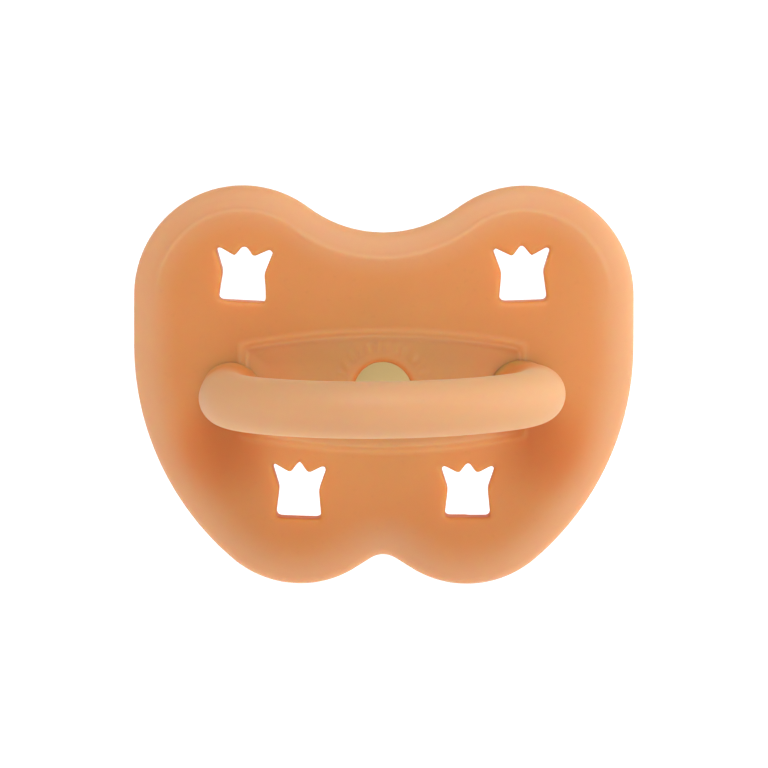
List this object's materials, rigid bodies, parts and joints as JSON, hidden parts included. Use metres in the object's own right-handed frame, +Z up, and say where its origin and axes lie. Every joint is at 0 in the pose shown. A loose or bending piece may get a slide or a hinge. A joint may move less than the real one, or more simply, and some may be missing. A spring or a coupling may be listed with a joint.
{
  "type": "pacifier",
  "caption": "Soft rubber pacifier with a domed shield, crown-shaped air vents, a hollow teat and a round loop handle that flexes on its feet.",
  "frame": {"origin": "centre of the front hole, on the floor of the recess in the shield", "axes": "+Z up across the shield, +Y into the mouth along the teat, +X to the right as seen from the handle side"},
  "size_m": [0.056, 0.0525, 0.0448],
  "materials": {
    "orange_rubber": "satin natural rubber, peach orange",
    "cream_rubber": "translucent natural rubber, cream"
  },
  "bodies": {
    "shield_body": {"shield": "orange_rubber", "teat_flange": "cream_rubber"},
    "handle_body": {"handle_loop": "orange_rubber", "handle_foot_left": "orange_rubber", "handle_foot_right": "orange_rubber"},
    "teat_body": {"teat_bulb": "cream_rubber", "teat_neck": "cream_rubber"}
  },
  "joints": [
    {"name": "handle_flex", "type": "hinge", "parent": "shield_body", "child": "handle_body", "pos_m": [0, -0.002, 0], "axis": [1, 0, 0], "range_deg": [-35, 35], "stiffness_Nm_per_rad": 0.03, "deforming": ["handle_foot_left", "handle_foot_right"]},
    {"name": "teat_flex", "type": "hinge", "parent": "shield_body", "child": "teat_body", "pos_m": [0, 0.00875, 0], "axis": [1, 0, 0], "range_deg": [-20, 20], "stiffness_Nm_per_rad": 0.02, "deforming": ["teat_neck"]}
  ]
}
